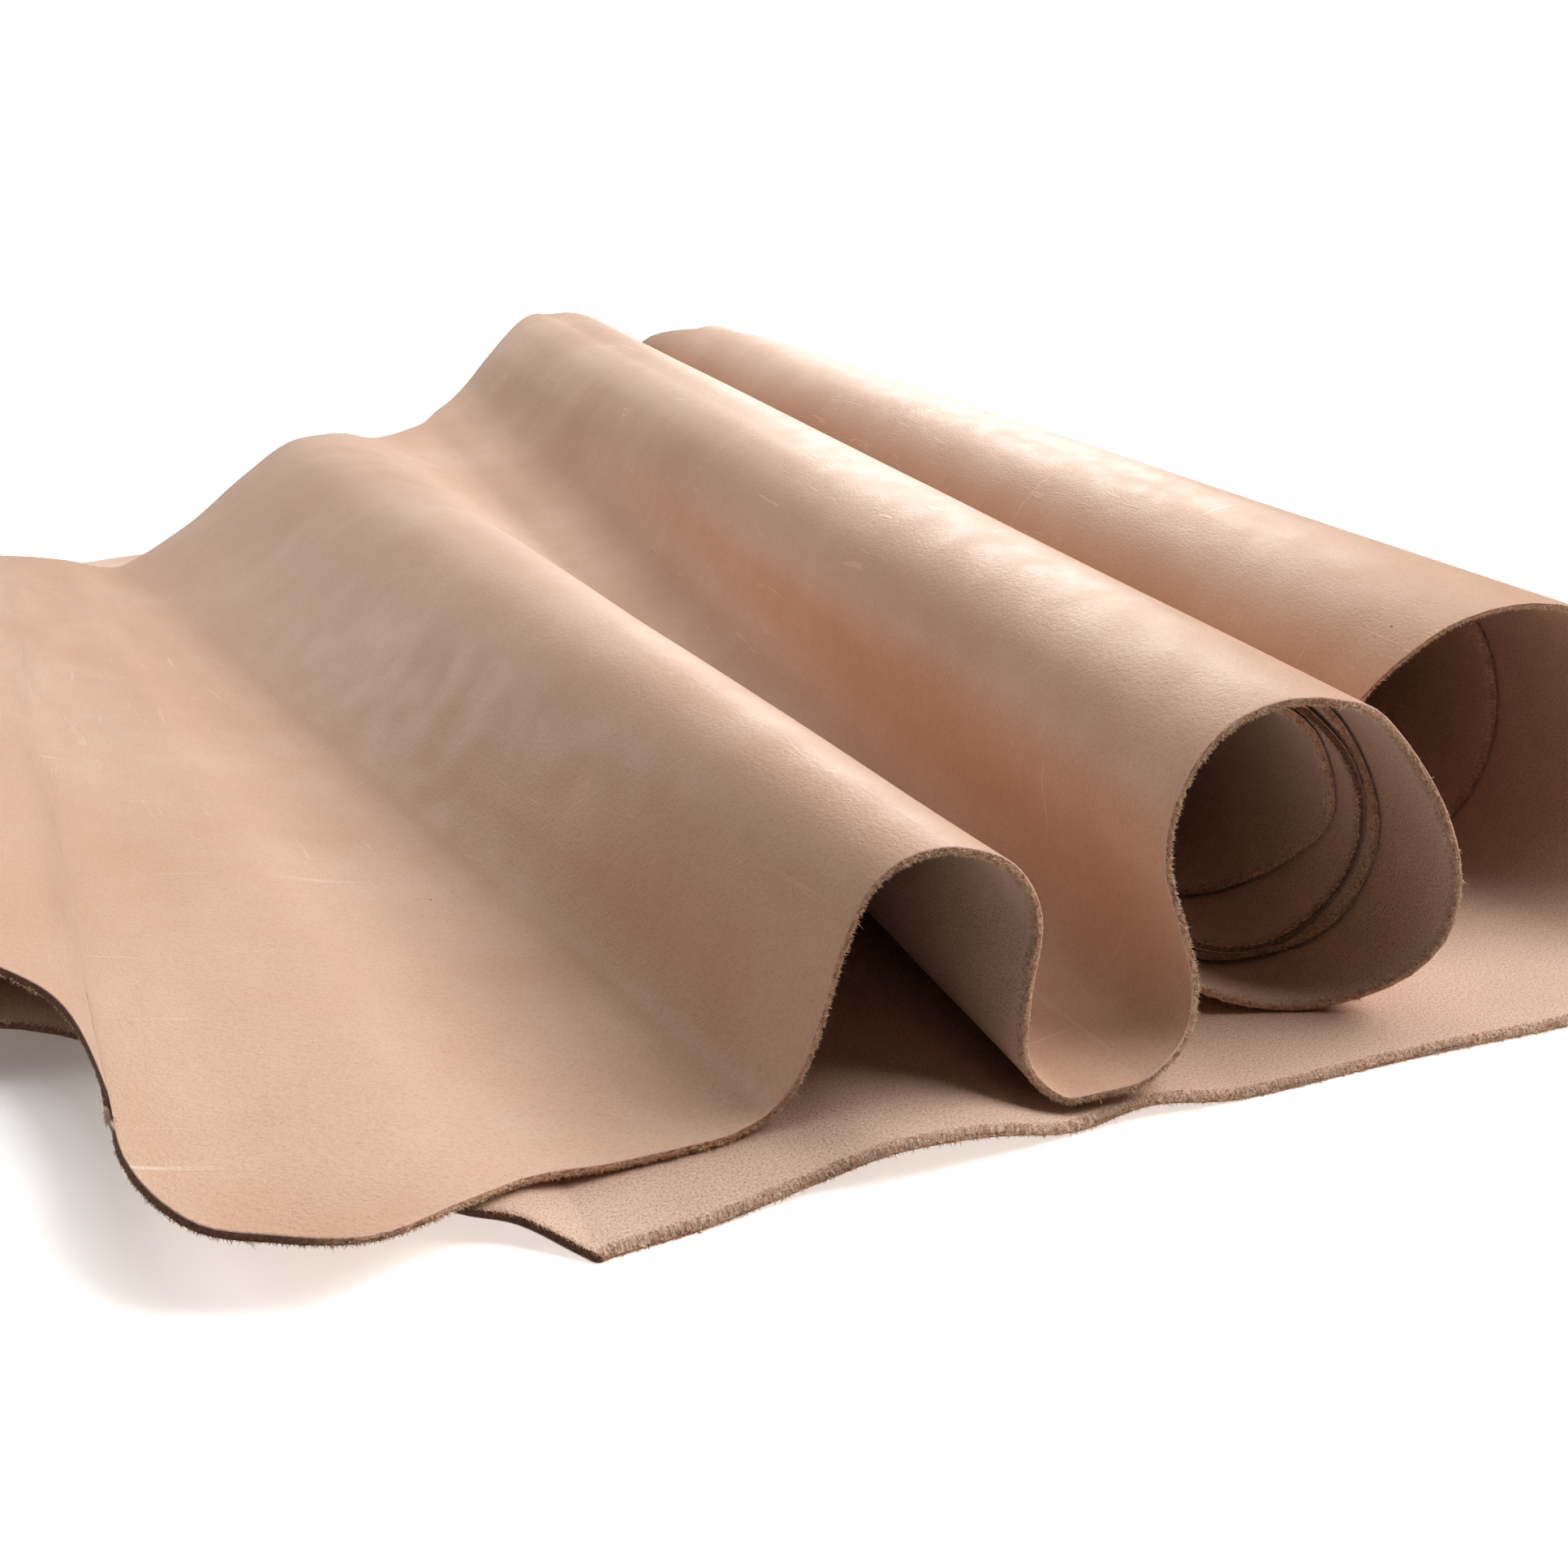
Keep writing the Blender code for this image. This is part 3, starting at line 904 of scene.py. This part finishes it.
def cut_edge():
    """The raw cut: tan fibres where it is rough, dark brown where it is clean, a pale grain line."""
    n = Nodes("cut")
    depth = n.add("ShaderNodeSeparateXYZ", {0: n.place()}).outputs["Z"]
    layer = n.math("DIVIDE", depth, THICKNESS * MM)
    fibres = n.noise(1, 4, 0.7, 0.6, n.place((1300, 1300, 2400)))
    clumps = n.noise(1, 2, 0.6, 0.8, n.place((420, 420, 700)))
    rough = n.blend(n.span(fibres, 0.35, 0.62), linear(ROUGH_SHADE), linear(ROUGH_LIGHT))
    rough = n.blend(n.span(clumps, 0.5, 0.34, 0.0, 0.55), rough, linear(ROUGH_CLUMP))
    clean = n.blend(n.span(fibres, 0.35, 0.7), linear(CLEAN_SHADE), linear(CLEAN_LIGHT))
    colour = n.blend(n.amount("clean_cut"), rough, clean)
    colour = n.blend(n.span(layer, 0.8, 0.92), colour, linear(GRAIN_LINE))
    n.join(colour, n.surface.inputs["Base Color"])
    n.surface.inputs["Roughness"].default_value = 0.88
    n.surface.inputs["Specular IOR Level"].default_value = 0.25
    normal = n.bump(clumps, 0.0012, 0.5)
    n.join(n.bump(fibres, 0.0008, 0.7, normal), n.surface.inputs["Normal"])
    return n.material


def fibre_look():
    """The pale fibres at the cuts."""
    n = Nodes("fibre")
    tone = n.noise(900, 2, 0.5, 0.0, n.add("ShaderNodeTexCoord").outputs["Object"])
    colour = n.blend(n.span(tone, 0.35, 0.65), linear(FIBRE_SHADE), linear(FIBRE_LIGHT))
    n.join(colour, n.surface.inputs["Base Color"])
    n.surface.inputs["Roughness"].default_value = 0.8
    n.surface.inputs["Specular IOR Level"].default_value = 0.3
    return n.material


def hide_origin():
    """Where the tables' origin lies in the part's frame."""
    points = sheet_points(fine_stations(), (0, 1))
    lean = radians(ROLL_LEAN)
    x, y = points[..., 0], points[..., 1]
    turned = (x * cos(lean) + y * sin(lean), y * cos(lean) - x * sin(lean))
    return [-(side.min() + side.max()) / 2 for side in turned]


def add_camera():
    """The photo's viewpoint, turned and moved with the tables."""
    lean = radians(ROLL_LEAN)
    x, y = CAMERA_PLACE
    origin_x, origin_y = hide_origin()
    camera = bpy.data.cameras.new("camera")
    camera.sensor_width = SENSOR_MM
    camera.lens = FOCAL_PIXELS / PHOTO_SIZE * SENSOR_MM
    camera.clip_start = CLIP_START
    viewer = bpy.data.objects.new("camera", camera)
    viewer.location = (
        x * cos(lean) + y * sin(lean) + origin_x,
        y * cos(lean) - x * sin(lean) + origin_y,
        CAMERA_HEIGHT,
    )
    down = np.arctan((PHOTO_SIZE / 2 - HORIZON_PIXEL) / FOCAL_PIXELS)
    viewer.rotation_euler = (pi / 2 - down, 0, -radians(CAMERA_HEADING + ROLL_LEAN))
    bpy.context.scene.collection.objects.link(viewer)
    bpy.context.scene.camera = viewer


def floor_look():
    """White paper that is brighter to the camera, with a painted glow to the camera that whitens its
    shadows but for the hide's shaded corner and is warm near the hide, and that turns to plain white
    further out.
    """
    n = Nodes("paper")
    n.surface.inputs["Roughness"].default_value = 0.9
    n.surface.inputs["Specular IOR Level"].default_value = 0.1
    where = n.add("ShaderNodeTexCoord").outputs["Object"]
    far_out = n.add("ShaderNodeVectorMath", {0: where}, operation="LENGTH").outputs["Value"]
    # Painted light: the glow is weak round SHADE_AT, where the hide's shadow is left to show, and
    # whitens shadows elsewhere.
    from_shade = n.add("ShaderNodeVectorMath", {0: where, 1: SHADE_AT}, operation="DISTANCE")
    glow = n.span(from_shade.outputs["Value"], SHADE_FROM, SHADE_TO, SHADE_GLOW, NEAR_GLOW)
    white = n.span(far_out, WHITE_FROM, WHITE_TO)
    glow = n.math("MAXIMUM", glow, white)
    # Painted warm bounce light near the hide, turning white further out.
    n.join(n.blend(white, WARM_BOUNCE_GLOW, WHITE_GLOW), n.surface.inputs["Emission Color"])
    seen = n.add("ShaderNodeLightPath").outputs["Is Camera Ray"]
    n.join(n.math("MULTIPLY", glow, seen), n.surface.inputs["Emission Strength"])
    n.join(n.blend(seen, FLOOR_BOUNCE, FLOOR_SEEN), n.surface.inputs["Base Color"])
    return n.material


def add_floor():
    """A wide floor just below the hide."""
    mesh = bpy.data.meshes.new("floor")
    reach = FLOOR_REACH
    corners = [(-reach, -reach, 0), (reach, -reach, 0), (reach, reach, 0), (-reach, reach, 0)]
    mesh.from_pydata(corners, [], [(0, 1, 2, 3)])
    mesh.materials.append(floor_look())
    floor = bpy.data.objects.new("floor", mesh)
    floor.location = (0, 0, -FLOOR_BELOW)
    bpy.context.scene.collection.objects.link(floor)


def add_lamp(name, light, place):
    """A lamp at a place, turned to the middle of the hide."""
    lamp = bpy.data.objects.new(name, light)
    lamp.location = place
    lamp.rotation_euler = (-Vector(place)).to_track_quat("-Z", "Y").to_euler()
    bpy.context.scene.collection.objects.link(lamp)


def add_lights():
    """Soft boxes round the hide, an even light from the right, and a plain white studio."""
    world = bpy.data.worlds.new("studio")
    world.use_nodes = True
    tree = world.node_tree
    seen = tree.nodes.new("ShaderNodeLightPath").outputs["Is Camera Ray"]
    level = tree.nodes.new("ShaderNodeMapRange")
    tree.links.new(seen, level.inputs["Value"])
    level.inputs["To Min"].default_value = STUDIO_GLOW
    level.inputs["To Max"].default_value = 1.0
    tree.nodes["Background"].inputs["Color"].default_value = (1, 1, 1, 1)
    tree.links.new(level.outputs["Result"], tree.nodes["Background"].inputs["Strength"])
    bpy.context.scene.world = world
    for name, place, size, power in SOFT_BOXES:
        light = bpy.data.lights.new(name, "AREA")
        light.size = size
        light.energy = power
        add_lamp(name, light, place)
    for name, place, softness, strength in EVEN_LIGHTS:
        light = bpy.data.lights.new(name, "SUN")
        light.angle = radians(softness)
        light.energy = strength
        add_lamp(name, light, place)
    bpy.context.scene.view_settings.view_transform = "Standard"
    bpy.context.scene.view_settings.look = CONTRAST


def main():
    chance = np.random.default_rng(SEED)
    hide = Hide()
    fibre = fibre_look()
    sheet = make_sheet(hide, [flesh_leather(), grain_leather(), cut_edge()], chance)
    near_groups = [
        edge_fuzz(hide, False, chance),
        nap_fuzz(hide, chance),
        edge_tufts(hide, False, chance),
    ]
    far_groups = [edge_fuzz(hide, True, chance), edge_tufts(hide, True, chance)]
    near = make_fibres("near_fibres", near_groups, fibre)
    far = make_fibres("far_fibres", far_groups, fibre)
    for piece in (sheet, near, far):
        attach(piece, "root")
    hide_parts("leather_side")
    add_camera()
    add_floor()
    add_lights()


main()
